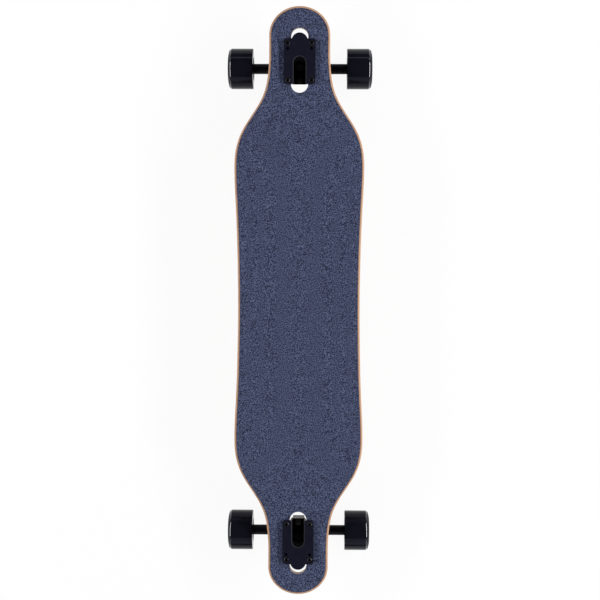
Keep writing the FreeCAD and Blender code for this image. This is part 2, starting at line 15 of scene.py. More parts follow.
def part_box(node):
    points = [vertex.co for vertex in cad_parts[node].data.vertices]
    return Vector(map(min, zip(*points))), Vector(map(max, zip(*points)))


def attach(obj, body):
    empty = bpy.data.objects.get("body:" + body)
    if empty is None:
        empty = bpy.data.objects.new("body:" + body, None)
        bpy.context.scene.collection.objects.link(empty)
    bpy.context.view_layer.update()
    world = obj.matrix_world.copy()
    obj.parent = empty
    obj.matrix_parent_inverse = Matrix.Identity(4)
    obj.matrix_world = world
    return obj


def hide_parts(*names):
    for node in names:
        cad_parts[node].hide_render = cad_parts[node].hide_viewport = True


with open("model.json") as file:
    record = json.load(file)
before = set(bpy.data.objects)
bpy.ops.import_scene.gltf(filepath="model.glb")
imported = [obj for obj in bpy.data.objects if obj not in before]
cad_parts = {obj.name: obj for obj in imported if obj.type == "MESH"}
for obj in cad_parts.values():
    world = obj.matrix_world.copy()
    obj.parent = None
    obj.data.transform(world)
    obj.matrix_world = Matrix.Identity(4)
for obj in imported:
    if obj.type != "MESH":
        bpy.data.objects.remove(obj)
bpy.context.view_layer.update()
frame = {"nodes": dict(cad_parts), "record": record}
nodes = frame["nodes"]
scene = bpy.context.scene
scene.view_settings.view_transform = "Standard"

# %% [markdown]
# ## The camera
# The picture is taken from almost straight above the board, a little towards its nose. The lens comes out
# of the same sum as the place: a known truck hole pattern covers a known number of pixels. A camera could be
# aimed at a target instead, but three small turns from looking straight down keep the numbers easy to read.

# %% Place the camera
camera_place = Vector((0.0437, 0.1786, 2.4849))
camera_pitch = math.radians(-4.081)
camera_yaw = math.radians(0.996)
camera_roll = math.radians(0.267)
sensor_width = 36.0
focal_pixels = 1372.3
picture_pixels = 600

camera_data = bpy.data.cameras.new("overhead_camera")
camera_data.sensor_fit = "HORIZONTAL"
camera_data.sensor_width = sensor_width
camera_data.lens = sensor_width * focal_pixels / picture_pixels
camera = bpy.data.objects.new("overhead_camera", camera_data)
scene.collection.objects.link(camera)
turn = Matrix.Rotation(camera_pitch, 4, "X") @ Matrix.Rotation(camera_yaw, 4, "Y")
turn = turn @ Matrix.Rotation(camera_roll, 4, "Z")
camera.matrix_world = Matrix.Translation(camera_place) @ turn
scene.camera = camera
print("lens:", round(camera_data.lens, 2), "mm")

# %% [markdown]
# ## Node helpers
# A material is a small tree of shader nodes. It can be drawn by hand in the node editor, but a script is
# easier to change. One helper adds a node and fills its sockets: a plain value is typed in, and another
# node's output is wired in. The rest of the lesson then reads as a list of nodes.

# %% Add nodes to a tree
def fill(tree, socket, value):
    """Types a plain value into a socket, or wires another node's output to it."""
    if isinstance(value, bpy.types.NodeSocket):
        tree.links.new(value, socket)
    else:
        socket.default_value = value


def add(tree, kind, inputs=None, **settings):
    """A new node, with its settings and its input sockets filled."""
    made = tree.nodes.new("ShaderNode" + kind)
    for name, value in settings.items():
        setattr(made, name, value)
    for name, value in (inputs or {}).items():
        fill(tree, made.inputs[name], value)
    return made


def calculate(tree, operation, first, second=0.0, third=0.0):
    """A math node's output."""
    return add(tree, "Math", {0: first, 1: second, 2: third}, operation=operation).outputs[0]


print("node helpers ready")

# %% [markdown]
# ## Floor
# The board lies on white paper, and one large square is enough for it. A grid with a single face is that
# square.

# %% Lay the floor
floor_half = 6.0

floor_mesh = bmesh.new()
bmesh.ops.create_grid(floor_mesh, x_segments=1, y_segments=1, size=floor_half)
floor_data = bpy.data.meshes.new("floor")
floor_mesh.to_mesh(floor_data)
floor_mesh.free()
floor = bpy.data.objects.new("floor", floor_data)
scene.collection.objects.link(floor)
print("floor:", 2 * floor_half, "m square")

# %% [markdown]
# For the camera, and for anything shiny that mirrors it, the paper is mostly its own white, and the rest is
# real light, so that it still takes a shadow. Stronger lamps could whiten it too, but they would bleach the
# board. Seen from below the paper is clear, so that the underside can be looked at.

# %% Make the paper
paper_grey = 0.85
own_white_share = 0.92


def grey(value):
    """A colour with equal red, green and blue."""
    return (value, value, value, 1.0)


paper = bpy.data.materials.new("white_paper")
paper.use_nodes = True
tree = paper.node_tree
tree.nodes.clear()
ray = add(tree, "LightPath")
seen = calculate(tree, "MAXIMUM", ray.outputs["Is Camera Ray"], ray.outputs["Is Glossy Ray"])
seen = calculate(tree, "MAXIMUM", seen, ray.outputs["Is Transmission Ray"])
share = calculate(tree, "MULTIPLY", seen, own_white_share)
matte = add(tree, "BsdfDiffuse", {"Color": grey(paper_grey)})
white = add(tree, "Emission", {"Color": grey(1.0), "Strength": 1.0})
lit = add(tree, "MixShader", {0: share, 1: matte.outputs[0], 2: white.outputs[0]})
clear = add(tree, "BsdfTransparent")
side = add(tree, "NewGeometry")
sheet = add(tree, "MixShader", {0: side.outputs["Backfacing"], 1: lit.outputs[0], 2: clear.outputs[0]})
add(tree, "OutputMaterial", {"Surface": sheet.outputs[0]})
floor_data.materials.append(paper)
print("paper:", own_white_share, "of it is its own white")

# %% [markdown]
# ## Light
# The black pieces show whatever they mirror, so the room counts as much as the lamps. It is dim overhead
# and at the horizon, with a paler band of wall between. A picture of a real studio could surround the board,
# but the height of a direction, from 0 at the horizon to 1 overhead, is all that this room needs.

# %% Build the room
horizon_light = 0.16
wall_light = 0.34
ceiling_light = 0.05
wall_foot = 0.26
wall_brightest = 0.40
ceiling_start = 0.65
room_tint = (0.88, 0.92, 1.0, 1.0)


def ramp(tree, value, start, end, low=0.0, high=1.0, shape="LINEAR"):
    """Turns a value between start and end into one between low and high, and holds it outside them."""
    made = add(tree, "MapRange", {
        "Value": value, "From Min": start, "From Max": end, "To Min": low, "To Max": high,
    }, interpolation_type=shape)
    return made.outputs["Result"]


world = bpy.data.worlds.new("studio")
scene.world = world
world.use_nodes = True
tree = world.node_tree
tree.nodes.clear()
direction = add(tree, "TexCoord").outputs["Generated"]
height = add(tree, "SeparateXYZ", {0: direction}).outputs["Z"]
above_horizon = ramp(tree, height, wall_foot, wall_brightest, horizon_light, wall_light, "SMOOTHSTEP")
below_ceiling = ramp(tree, height, wall_brightest, ceiling_start, wall_light, ceiling_light, "SMOOTHSTEP")
level = calculate(tree, "MINIMUM", above_horizon, below_ceiling)
room = add(tree, "Background", {"Color": room_tint, "Strength": level})
add(tree, "OutputWorld", {"Surface": room.outputs[0]})
print("room light:", horizon_light, wall_light, ceiling_light)

# %% [markdown]
# A long soft box stands on each side, about a third of the way up the sky, so that each base plate drops a
# short shadow on the grip beside it and the deep troughs stay dark. The right one is the stronger, and both
# draw a bright crescent on the shoulders of the black wheels. A dim panel behind the tail and a thin, low
# strip beyond the nose show as bands in the wheels' treads. Small lamps would give hard glints instead.

# %% Set up the lamps
deck_centre = (0.0, 0.0, 0.09)
near_front_axle = (0.0, 0.4, 0.04)


def soft_box(name, place, target, width, tall, watts):
    """A rectangular lamp that faces a point."""
    data = bpy.data.lights.new(name, "AREA")
    data.shape = "RECTANGLE"
    data.size = width
    data.size_y = tall
    data.energy = watts
    lamp = bpy.data.objects.new(name, data)
    scene.collection.objects.link(lamp)
    lamp.location = place
    lamp.rotation_euler = (Vector(target) - Vector(place)).to_track_quat("-Z", "Y").to_euler()


soft_box("right_box", (1.72, 0.10, 1.20), deck_centre, width=2.8, tall=0.30, watts=52.0)
soft_box("left_box", (-1.72, 0.10, 1.20), deck_centre, width=2.8, tall=0.30, watts=36.0)
soft_box("nose_strip", (0.0, 1.12, 0.43), near_front_axle, width=1.6, tall=0.10, watts=1.1)
soft_box("tail_panel", (0.0, -1.75, 1.05), (0.0, 0.0, 1.05), width=2.6, tall=1.5, watts=12.0)

# %% [markdown]
# ## Shared surface effects
# Several finishes need the same texture at another size, so each texture is a node group, built once and
# placed in every finish with its own values. Copies of the nodes would look the same, but each change would
# then have to be made in all of them.

# %% Start and place node groups
def new_group(name, inputs, outputs):
    """An empty shader group with float inputs, given with their defaults, and named outputs."""
    group = bpy.data.node_groups.new(name, "ShaderNodeTree")
    for label, default in inputs.items():
        socket = group.interface.new_socket(name=label, in_out="INPUT", socket_type="NodeSocketFloat")
        socket.default_value = default
    for label in outputs:
        group.interface.new_socket(name=label, in_out="OUTPUT", socket_type="NodeSocketFloat")
    return group, group.nodes.new("NodeGroupInput"), group.nodes.new("NodeGroupOutput")


def use_group(tree, group, **inputs):
    """Places a shared group in a material with its own values, and gives its outputs."""
    made = tree.nodes.new("ShaderNodeGroup")
    made.node_tree = group
    for label, value in inputs.items():
        made.inputs[label].default_value = value
    return made.outputs


print("group helpers ready")

# %% [markdown]
# The fine skin is the faint orange peel of a coat or a mould, with a soft mottle. Two noises give both.
# They read Object coordinates, which are the board's own metres, so that a grain has the same real size on
# every piece. Unwrapping each piece would do as well, but takes seams that these pieces don't need.

# %% Build the fine skin group
def noise(tree, vector, scale, detail, roughness, distortion=0.0):
    """A noise texture's height, from 0 to 1."""
    made = add(tree, "TexNoise", {
        "Vector": vector, "Scale": scale, "Detail": detail, "Roughness": roughness,
        "Distortion": distortion,
    })
    return made.outputs[0]


fine_skin, given, result = new_group("fine_skin", {"Grain": 900.0, "Mottle": 60.0}, ("Height", "Shade"))
place = add(fine_skin, "TexCoord").outputs["Object"]
peel = noise(fine_skin, place, given.outputs["Grain"], detail=3.0, roughness=0.55)
patches = noise(fine_skin, place, given.outputs["Mottle"], detail=2.0, roughness=0.5)
fine_skin.links.new(peel, result.inputs["Height"])
fine_skin.links.new(patches, result.inputs["Shade"])
print("group:", fine_skin.name)

# %% [markdown]
# Turned and ground pieces carry fine rings round their axis. Most of them here sit on an axle, and the two
# axles mirror each other along the board, so the distance from either comes from the same sum. Rings at
# random depths are noise that reads that one distance, with the place along the axle beside it. Circles cut
# into the meshes would need far more faces.

# %% Build the lathe rings group
axle_low, axle_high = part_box("front_axle")
axle_y = (axle_low.y + axle_high.y) / 2
axle_z = (axle_low.z + axle_high.z) / 2


def object_axes(tree):
    """The X, Y and Z of a point on a piece, in the board's own metres."""
    place = add(tree, "TexCoord").outputs["Object"]
    return add(tree, "SeparateXYZ", {0: place}).outputs


lathe_rings, given, result = new_group("lathe_rings", {"Rings": 2600.0}, ("Height",))
axes = object_axes(lathe_rings)
along = calculate(lathe_rings, "SUBTRACT", calculate(lathe_rings, "ABSOLUTE", axes["Y"]), axle_y)
above = calculate(lathe_rings, "SUBTRACT", axes["Z"], axle_z)
square = calculate(lathe_rings, "MULTIPLY", along, along)
radius = calculate(lathe_rings, "SQRT", calculate(lathe_rings, "MULTIPLY_ADD", above, above, square))
lane = add(lathe_rings, "CombineXYZ", {"X": radius, "Y": axes["X"], "Z": 0.0}).outputs[0]
rings = noise(lathe_rings, lane, given.outputs["Rings"], detail=2.0, roughness=0.6)
lathe_rings.links.new(rings, result.inputs["Height"])
print("group:", lathe_rings.name, "about y", round(axle_y, 4), "z", round(axle_z, 4))

# %% [markdown]
# ## Finishes
# Every finish starts from a Principled shader. What is the same all over a piece is set on the shader's own
# sockets, which an exported model keeps. What changes from place to place, such as a blend of two colours
# or a bump, is wired in.

# %% Start a finish
def new_finish(name, **values):
    """A material, its node tree and its shader, with plain values set on the shader's sockets."""
    material = bpy.data.materials.new(name)
    material.use_nodes = True
    shader = material.node_tree.nodes["Principled BSDF"]
    for socket, value in values.items():
        shader.inputs[socket.replace("_", " ")].default_value = value
    return material, material.node_tree, shader


def blend_colours(tree, share, low, high):
    """A mix of two colours, by a share from 0 to 1. The node's sockets 6, 7 and 2 are its colours."""
    return add(tree, "Mix", {0: share, 6: low, 7: high}, data_type="RGBA").outputs[2]


def bump(tree, shader, height, depth):
    """Wires a height from 0 to 1 to a shader's normal. A height of 1 stands out by depth, in metres."""
    made = add(tree, "Bump", {"Strength": 1.0, "Distance": depth, "Height": height})
    tree.links.new(made.outputs["Normal"], shader.inputs["Normal"])


print("finish helpers ready")

# %% [markdown]
# ## Grip sheet
# Grip is sharp black grit glued to paper. Each grain catches the light at its own angle, so from above the
# sheet looks like blue-grey salt and pepper. Modelled grains would be millions of tiny shapes. Voronoi cells
# just under a millimetre across stand for them, each with its own brightness, and a softer noise gathers
# them in light and dark flecks.

# %% Make the grip finish
grit_size = 0.0009
fleck_size = 0.0016
grit_depth = 0.00035
fleck_dark = 0.43
fleck_light = 0.63
grain_weight = 0.12
fleck_weight = 0.88
grip_dark = (0.004, 0.006, 0.021, 1.0)
grip_light = (0.1045, 0.127, 0.230, 1.0)


def grip_finish():
    """Blue-grey grit with light and dark flecks."""
    material, tree, shader = new_finish("grip_abrasive", Roughness=0.9, Specular_IOR_Level=0.25)
    place = add(tree, "TexCoord").outputs["Object"]
    grains = add(tree, "TexVoronoi", {"Vector": place, "Scale": 1 / grit_size, "Randomness": 1.0})
    tone = add(tree, "SeparateColor", {0: grains.outputs["Color"]}).outputs[0]
    flecks = noise(tree, place, 1 / fleck_size, detail=1.0, roughness=0.6)
    sharp = ramp(tree, flecks, fleck_dark, fleck_light)
    weighed = calculate(tree, "MULTIPLY", sharp, fleck_weight)
    share = calculate(tree, "MULTIPLY_ADD", tone, grain_weight, weighed)
    tree.links.new(blend_colours(tree, share, grip_dark, grip_light), shader.inputs["Base Color"])
    crest = calculate(tree, "SUBTRACT", 1.0, grains.outputs["Distance"])
    bump(tree, shader, crest, grit_depth)
    return material


print("grip grains:", round(grit_size * 1000, 2), "mm")

# %% [markdown]
# ## Maple deck
# The deck is eight sheets of maple pressed into a shallow dish. Their edges show as stripes all round, so
# the stripes have to follow the dish. Level stripes would be simpler, but the edge would cut across them
# where it rises. So the finish works out how deep a point lies under the deck's top, by repeating the
# dish's own sum.

# %% Find the depth in the deck
ply_count = 8
dish_depth = 0.006
dish_half_width = 0.1127
dish_full_y = 0.170
dish_flat_y = 0.335

deck_low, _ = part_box("deck")
grip_low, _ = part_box("grip_tape")
deck_top = grip_low.z
ply_thick = (deck_top - deck_low.z) / ply_count


def depth_in_deck(tree):
    """How far a point lies below the dished top of the deck."""
    axes = object_axes(tree)
    along = calculate(tree, "ABSOLUTE", axes["Y"])
    fade = ramp(tree, along, dish_full_y, dish_flat_y, dish_depth, 0.0, "SMOOTHSTEP")
    across = calculate(tree, "DIVIDE", axes["X"], dish_half_width)
    rise = calculate(tree, "MULTIPLY", calculate(tree, "MULTIPLY", across, across), fade)
    return calculate(tree, "SUBTRACT", calculate(tree, "ADD", rise, deck_top), axes["Z"])


print("plies:", ply_count, "of", round(ply_thick * 1000, 2), "mm")

# %% [markdown]
# Counting the sheets down to a point gives each sheet its own tone, with a thin dark line of glue on top of
# it. The wood's long fibres and broad bands are noise, stretched along the board by a Mapping node. A scan of
# real maple would repeat, and this grain runs on from the faces into the edge.

# %% Make the maple finish
maple_light = (0.60, 0.365, 0.222, 1.0)
maple_dark = (0.43, 0.226, 0.12, 1.0)
sheet_margin = 0.01
sheet_weight = 0.40
fibre_stretch = (420.0, 9.0, 160.0)
fibre_weight = 0.45
fibre_depth = 0.00006
band_stretch = (46.0, 1.6, 30.0)
band_weight = 0.35
figure_shift = 0.08
glue_share = 0.07
glue_strength = 0.55
glue_colour = (0.22, 0.11, 0.05, 1.0)


def maple_finish():
    """Pale maple with fibres and bands, in sheets that show at the edges."""
    material, tree, shader = new_finish("maple_ply", Roughness=0.42, Specular_IOR_Level=0.4)
    place = add(tree, "TexCoord").outputs["Object"]
    sheets = calculate(tree, "DIVIDE", depth_in_deck(tree), ply_thick)
    sheets = calculate(tree, "MAXIMUM", sheets, sheet_margin)
    sheets = calculate(tree, "MINIMUM", sheets, ply_count - sheet_margin)
    number = calculate(tree, "FLOOR", sheets)
    own_tone = add(tree, "TexWhiteNoise", {"W": number}, noise_dimensions="1D").outputs["Value"]

    fibres = add(tree, "Mapping", {"Vector": place, "Scale": fibre_stretch}).outputs[0]
    fibre = noise(tree, fibres, 1.0, detail=4.0, roughness=0.6)
    bands = add(tree, "Mapping", {"Vector": place, "Scale": band_stretch}).outputs[0]
    band = noise(tree, bands, 1.0, detail=3.0, roughness=0.5, distortion=0.6)
    fibre_part = calculate(tree, "MULTIPLY", fibre, fibre_weight)
    band_part = calculate(tree, "MULTIPLY", band, band_weight)
    figure = calculate(tree, "SUBTRACT", calculate(tree, "ADD", fibre_part, band_part), figure_shift)
    share = calculate(tree, "MULTIPLY_ADD", own_tone, sheet_weight, figure)
    wood = blend_colours(tree, share, maple_light, maple_dark)

    glued = calculate(tree, "LESS_THAN", calculate(tree, "FRACT", sheets), glue_share)
    below_first = calculate(tree, "GREATER_THAN", number, 0.0)
    line = calculate(tree, "MULTIPLY", calculate(tree, "MULTIPLY", glued, below_first), glue_strength)
    tree.links.new(blend_colours(tree, line, wood, glue_colour), shader.inputs["Base Color"])
    bump(tree, shader, fibre, fibre_depth)
    return material


print("glue lines:", round(glue_share * ply_thick * 1000, 3), "mm")

# %% [markdown]
# ## Black castings, wheels and plastics
# Coated, poured and moulded pieces have one colour and a fine skin. One helper makes them all from the fine
# skin group, with a grain size, a bump depth and a range of roughness of their own. The mottle is coarser
# than the grain, and it shifts the colour and the gloss together, as wear does.

# %% Make a skinned finish
mottle_over_grain = 14
noise_low = 0.3
noise_high = 0.7


def skin_finish(name, colour, spread, grain, depth, rough, **values):
    """A plain coloured finish with a fine skin. spread scales the colour at its lightest patches."""
    material, tree, shader = new_finish(name, **values)
    skin = use_group(tree, fine_skin, Grain=grain, Mottle=grain / mottle_over_grain)
    lightest = [part * spread for part in colour]
    tint = blend_colours(tree, skin["Shade"], (*colour, 1.0), (*lightest, 1.0))
    tree.links.new(tint, shader.inputs["Base Color"])
    gloss = ramp(tree, skin["Shade"], noise_low, noise_high, *rough)
    tree.links.new(gloss, shader.inputs["Roughness"])
    bump(tree, shader, skin["Height"], depth)
    return material


def wired(shader, socket):
    """The output that already feeds a shader's socket."""
    return shader.inputs[socket].links[0].from_socket


print("skinned finishes read the group", fine_skin.name)

# %% [markdown]
# Base plates and hangers are cast aluminium under a black powder coat, which has the skin of an orange. The
# trough for the kingpin stays rough and dull, and its colour is painted shade, darker than the coat where
# shade falls in the deep recess. The bevelled rim round it gets a paler colour, a painted highlight. Both
# could be painted on by hand. Here masks find them, from the depth under the plate's top and the distance
# from the board's middle, so that both trucks get the same.

# %% Make the powder coat
_, plate_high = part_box("front_baseplate")
trough_half = 0.0107
trough_depth = 0.0255
bare_start = 0.0012
bare_full = 0.0030
bare_rough = 0.9
# The trough's colour is painted shade, darker than the coat where shade falls in the deep recess.
trough_painted_shade = (0.0024, 0.0024, 0.0033, 1.0)
rim_half = 0.0119
rim_depth = 0.0013
rim_margin = 0.00008
rim_end = 0.4306
# The rim's colour is a painted highlight, paler than the coat along the bevel.
painted_rim_highlight = (0.033, 0.033, 0.037, 1.0)


def powder_coat_finish():
    """Black powder over a casting, a dull trough in painted shade and a painted highlight on its rim."""
    material = skin_finish(
        "black_powder_coat", colour=(0.0051, 0.0054, 0.0114), spread=1.6, grain=1100.0, depth=0.00006,
        rough=(0.36, 0.48), Specular_IOR_Level=0.08,
    )
    tree = material.node_tree
    shader = tree.nodes["Principled BSDF"]
    axes = object_axes(tree)
    across = calculate(tree, "ABSOLUTE", axes["X"])
    along = calculate(tree, "ABSOLUTE", axes["Y"])
    depth = calculate(tree, "SUBTRACT", plate_high.z, axes["Z"])

    between = calculate(tree, "LESS_THAN", across, trough_half)
    within = calculate(tree, "MULTIPLY", between, calculate(tree, "LESS_THAN", depth, trough_depth))
    bare = calculate(tree, "MULTIPLY", ramp(tree, depth, bare_start, bare_full), within)
    # Painted shade: the trough takes the darker colour; its higher roughness is the casting's own.
    tint = blend_colours(tree, bare, wired(shader, "Base Color"), trough_painted_shade)
    dull = calculate(tree, "MULTIPLY", bare, bare_rough)
    dull = calculate(tree, "MAXIMUM", wired(shader, "Roughness"), dull)
    tree.links.new(dull, shader.inputs["Roughness"])

    near = calculate(tree, "LESS_THAN", across, rim_half)
    short = calculate(tree, "LESS_THAN", along, rim_end)
    shallow = calculate(tree, "COMPARE", depth, rim_depth / 2, rim_depth / 2 - rim_margin)
    rim = calculate(tree, "MULTIPLY", shallow, calculate(tree, "MULTIPLY", near, short))
    # Painted highlight: the rim takes the paler colour.
    tree.links.new(blend_colours(tree, rim, tint, painted_rim_highlight), shader.inputs["Base Color"])
    return material


print("plate tops at z", round(plate_high.z, 4))

# %% [markdown]
# The tyres are poured urethane, black and glossy. A narrow band of each shoulder is polished, and the side
# beyond it is ground dull. Three materials on three sets of faces would leave hard edges, so one finish
# fades from tread to band to side by the distance from the board's middle.

# %% Make the urethane
_, tyre_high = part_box("front_right_tyre")
polish_x = tyre_high.x - 0.0049
polish_half = 0.0016
polish_weight = 0.9
side_start = tyre_high.x - 0.0036
side_full = tyre_high.x - 0.0026
side_rough = 0.7


def urethane_finish():
    """Black urethane, glossy on the tread, polished on the shoulder and dull on the side."""
    material = skin_finish(
        "black_urethane", colour=(0.0041, 0.0041, 0.0074), spread=1.5, grain=700.0, depth=0.000008,
        rough=(0.06, 0.09), Specular_IOR_Level=0.11, Specular_Tint=(0.74, 0.76, 1.0, 1.0),
        Coat_Roughness=0.06, Coat_IOR=1.8,
    )
    tree = material.node_tree
    shader = tree.nodes["Principled BSDF"]
    from_board = calculate(tree, "ABSOLUTE", object_axes(tree)["X"])
    from_band = calculate(tree, "ABSOLUTE", calculate(tree, "SUBTRACT", from_board, polish_x))
    polish = ramp(tree, from_band, polish_half / 2, polish_half, polish_weight, 0.0)
    tree.links.new(polish, shader.inputs["Coat Weight"])
    ground = ramp(tree, from_board, side_start, side_full, 0.0, side_rough)
    gloss = calculate(tree, "MAXIMUM", wired(shader, "Roughness"), ground)
    tree.links.new(gloss, shader.inputs["Roughness"])
    return material


print("polished shoulders at", round(polish_x, 4), "m from the middle")

# %% [markdown]
# The soft bushings, the moulded wheel cores and pivot cups, and the pale cages and nut inserts are plastic.
# They differ only in colour, grain and gloss, so each is one call of the same helper.

# %% Make the plastics
def bushing_finish():
    return skin_finish(
        "bushing_urethane", colour=(0.020, 0.020, 0.022), spread=1.4, grain=500.0, depth=0.00003,
        rough=(0.35, 0.45), Specular_IOR_Level=0.4,
    )


def core_finish():
    return skin_finish(
        "black_nylon", colour=(0.010, 0.010, 0.011), spread=1.5, grain=1400.0, depth=0.00004,
        rough=(0.40, 0.55), Specular_IOR_Level=0.4,
    )


def cage_finish():
    return skin_finish(
        "ivory_nylon", colour=(0.70, 0.66, 0.54), spread=1.1, grain=1200.0, depth=0.00003,
        rough=(0.40, 0.55),
    )


print("plastic finishes ready")

# %% [markdown]
# ## Metals
# Zinc-plated nuts, ground axles and polished races are the same metal with another polish. The lathe rings
# give them their fine scratches, and a slow mottle keeps the plating from looking like one flat tone.
# Perfectly smooth metal would be simpler, but it would look like foil.

# %% Make the bare metals
plating_mottle = 120.0
dull_tint = (0.82, 0.82, 0.84)


def metal_finish(name, colour, rings, depth, rough):
    """A bare metal with turned rings and a mottled polish."""
    material, tree, shader = new_finish(name, Metallic=1.0)
    skin = use_group(tree, fine_skin, Mottle=plating_mottle)
    dull = [part * tint for part, tint in zip(colour, dull_tint)]
    tint = blend_colours(tree, skin["Shade"], (*dull, 1.0), (*colour, 1.0))
    tree.links.new(tint, shader.inputs["Base Color"])
    turned = use_group(tree, lathe_rings, Rings=rings)
    gloss = ramp(tree, turned["Height"], noise_low, noise_high, *rough)
    tree.links.new(gloss, shader.inputs["Roughness"])
    bump(tree, shader, turned["Height"], depth)
    return material


def bolt_finish():
    return metal_finish(
        "black_zinc_steel", colour=(0.090, 0.089, 0.092), rings=900.0, depth=0.00001,
        rough=(0.26, 0.38),
    )


def zinc_finish():
    return metal_finish(
        "zinc_plated_steel", colour=(0.60, 0.61, 0.63), rings=1500.0, depth=0.00002,
        rough=(0.26, 0.40),
    )


def axle_finish():
    return metal_finish(
        "ground_steel", colour=(0.52, 0.52, 0.54), rings=2600.0, depth=0.00001,
        rough=(0.20, 0.34),
    )


def bearing_finish():
    return metal_finish(
        "polished_steel", colour=(0.66, 0.66, 0.68), rings=3200.0, depth=0.000006,
        rough=(0.10, 0.22),
    )


def shield_finish():
    return metal_finish(
        "pressed_shield", colour=(0.46, 0.46, 0.48), rings=3000.0, depth=0.00001,
        rough=(0.26, 0.38),
    )


def spacer_finish():
    return metal_finish(
        "turned_aluminium", colour=(0.80, 0.80, 0.81), rings=2200.0, depth=0.00002,
        rough=(0.22, 0.36),
    )


print("metal finishes ready")

# %% [markdown]
# The kingpins are blackened steel. At the lower end, where the nut has rubbed the black off, bare metal
# shows. A second material would need its own faces there, and a mask by height needs none.

# %% Make the blackened steel
kingpin_low, kingpin_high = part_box("front_kingpin")
bare_length = 0.012
bare_steel = (0.26, 0.26, 0.27, 1.0)


def black_steel_finish():
    """Blackened steel, bare at the kingpin's lower end."""
    material = skin_finish(
        "black_oxide_steel", colour=(0.0015, 0.0015, 0.0018), spread=1.8, grain=900.0, depth=0.00003,
        rough=(0.50, 0.65), Specular_IOR_Level=0.03,
    )
    tree = material.node_tree
    shader = tree.nodes["Principled BSDF"]
    bare = calculate(tree, "LESS_THAN", object_axes(tree)["Z"], kingpin_low.z + bare_length)
    tint = blend_colours(tree, bare, wired(shader, "Base Color"), bare_steel)
    tree.links.new(tint, shader.inputs["Base Color"])
    tree.links.new(bare, shader.inputs["Metallic"])
    return material


print("kingpins from z", round(kingpin_low.z, 4), "to", round(kingpin_high.z, 4))

# %% [markdown]
# ## Dress the CAD pieces
# Every CAD node keeps its shape and takes the finish of its material slot in the record. A table from slots
# to finishes does that in one loop, where a line for each piece would be easy to forget.

# %% Put the finishes on
finishes = {
    "maple": maple_finish(),
    "grip": grip_finish(),
    "cast_black": powder_coat_finish(),
    "black_steel": black_steel_finish(),
    "zinc_steel": zinc_finish(),
    "axle_steel": axle_finish(),
    "bearing_steel": bearing_finish(),
    "bearing_shield": shield_finish(),
    "spacer_aluminium": spacer_finish(),
    "cage_plastic": cage_finish(),
    "core_plastic": core_finish(),
    "urethane": urethane_finish(),
    "bushing": bushing_finish(),
    "pivot_plastic": core_finish(),
}
for entry in frame["record"]["subparts"]:
    for slot in nodes[entry["node"]].material_slots:
        slot.material = finishes[entry["material_slot"]]

# %% [markdown]
# ## Fasteners
# Bolts and nuts are turned and forged, with chamfers that catch the light. A lathe shape is a stack of
# closed loops, each bridged to the next. A hexagon cut into as many edges as the circles bridges to them
# cleanly, so one helper makes sockets, flats and round collars alike. Cutting cylinders with Booleans could
# do it too, but leaves ragged faces.

# %% Stack loops into a turned shape
loop_points = 36
circle = 0
hexagon = 6


def add_loop(shape, kind, radius, height):
    """A closed loop of edges: a circle, or a hexagon whose flats lie at the radius."""
    first = len(shape.verts)
    if kind == hexagon:
        corner_radius = radius / math.cos(math.pi / hexagon)
        made = bmesh.ops.create_circle(shape, segments=hexagon, radius=corner_radius)
        flats = list({edge for vert in made["verts"] for edge in vert.link_edges})
        bmesh.ops.subdivide_edges(shape, edges=flats, cuts=loop_points // hexagon - 1)
    else:
        bmesh.ops.create_circle(shape, segments=loop_points, radius=radius)
    shape.verts.ensure_lookup_table()
    bmesh.ops.translate(shape, vec=(0.0, 0.0, height), verts=shape.verts[first:])


def loop_edges(shape, number):
    """The edges of the loop that was added as this number."""
    shape.verts.ensure_lookup_table()
    verts = shape.verts[number * loop_points:(number + 1) * loop_points]
    return list({edge for vert in verts for edge in vert.link_edges})


def stack(loops, closed=False):
    """Bridges loops of (kind, radius, height) in order. closed joins the last to the first, for a ring."""
    shape = bmesh.new()
    for loop in loops:
        add_loop(shape, *loop)
    edges = [loop_edges(shape, number) for number in range(len(loops))]
    for low, high in zip(edges, edges[1:]):
        bmesh.ops.bridge_loops(shape, edges=low + high)
    if closed:
        bmesh.ops.bridge_loops(shape, edges=edges[-1] + edges[0])
    else:
        bmesh.ops.edgeloop_fill(shape, edges=edges[0])
        bmesh.ops.edgeloop_fill(shape, edges=edges[-1])
    bmesh.ops.recalc_face_normals(shape, faces=shape.faces)
    return shape


print("loops of", loop_points, "points")

# %% [markdown]
# A shape is made upright at the origin, where its numbers are simple, and then turned and moved to its
# place. Shapes of one kind are joined in one mesh. The object itself stays at the origin, as the CAD pieces
# do, because its finish reads the board's own metres. It rides on the body that carries it.

# %% Turn shapes into pieces
sharp_angle = math.radians(28)


def placed(shape, place, axis):
    """Turns a shape from +Z to an axis and moves it to its place."""
    turn = Vector((0.0, 0.0, 1.0)).rotation_difference(Vector(axis)).to_matrix().to_4x4()
    bmesh.ops.transform(shape, matrix=Matrix.Translation(place) @ turn, verts=shape.verts)
    return shape


def join(shapes):
    """All the shapes in one bmesh."""
    whole = bmesh.new()
    for shape in shapes:
        part = bpy.data.meshes.new("part")
        shape.to_mesh(part)
        shape.free()
        whole.from_mesh(part)
        bpy.data.meshes.remove(part)
    return whole


def new_piece(name, shape, finish, body):
    """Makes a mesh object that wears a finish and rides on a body."""
    data = bpy.data.meshes.new(name)
    shape.to_mesh(data)
    shape.free()
    data.polygons.foreach_set("use_smooth", [True] * len(data.polygons))
    data.set_sharp_from_angle(angle=sharp_angle)
    data.materials.append(finish)
    piece = bpy.data.objects.new(name, data)
    scene.collection.objects.link(piece)
    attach(piece, body)
    return piece


print("edges over", round(math.degrees(sharp_angle)), "degrees stay sharp")

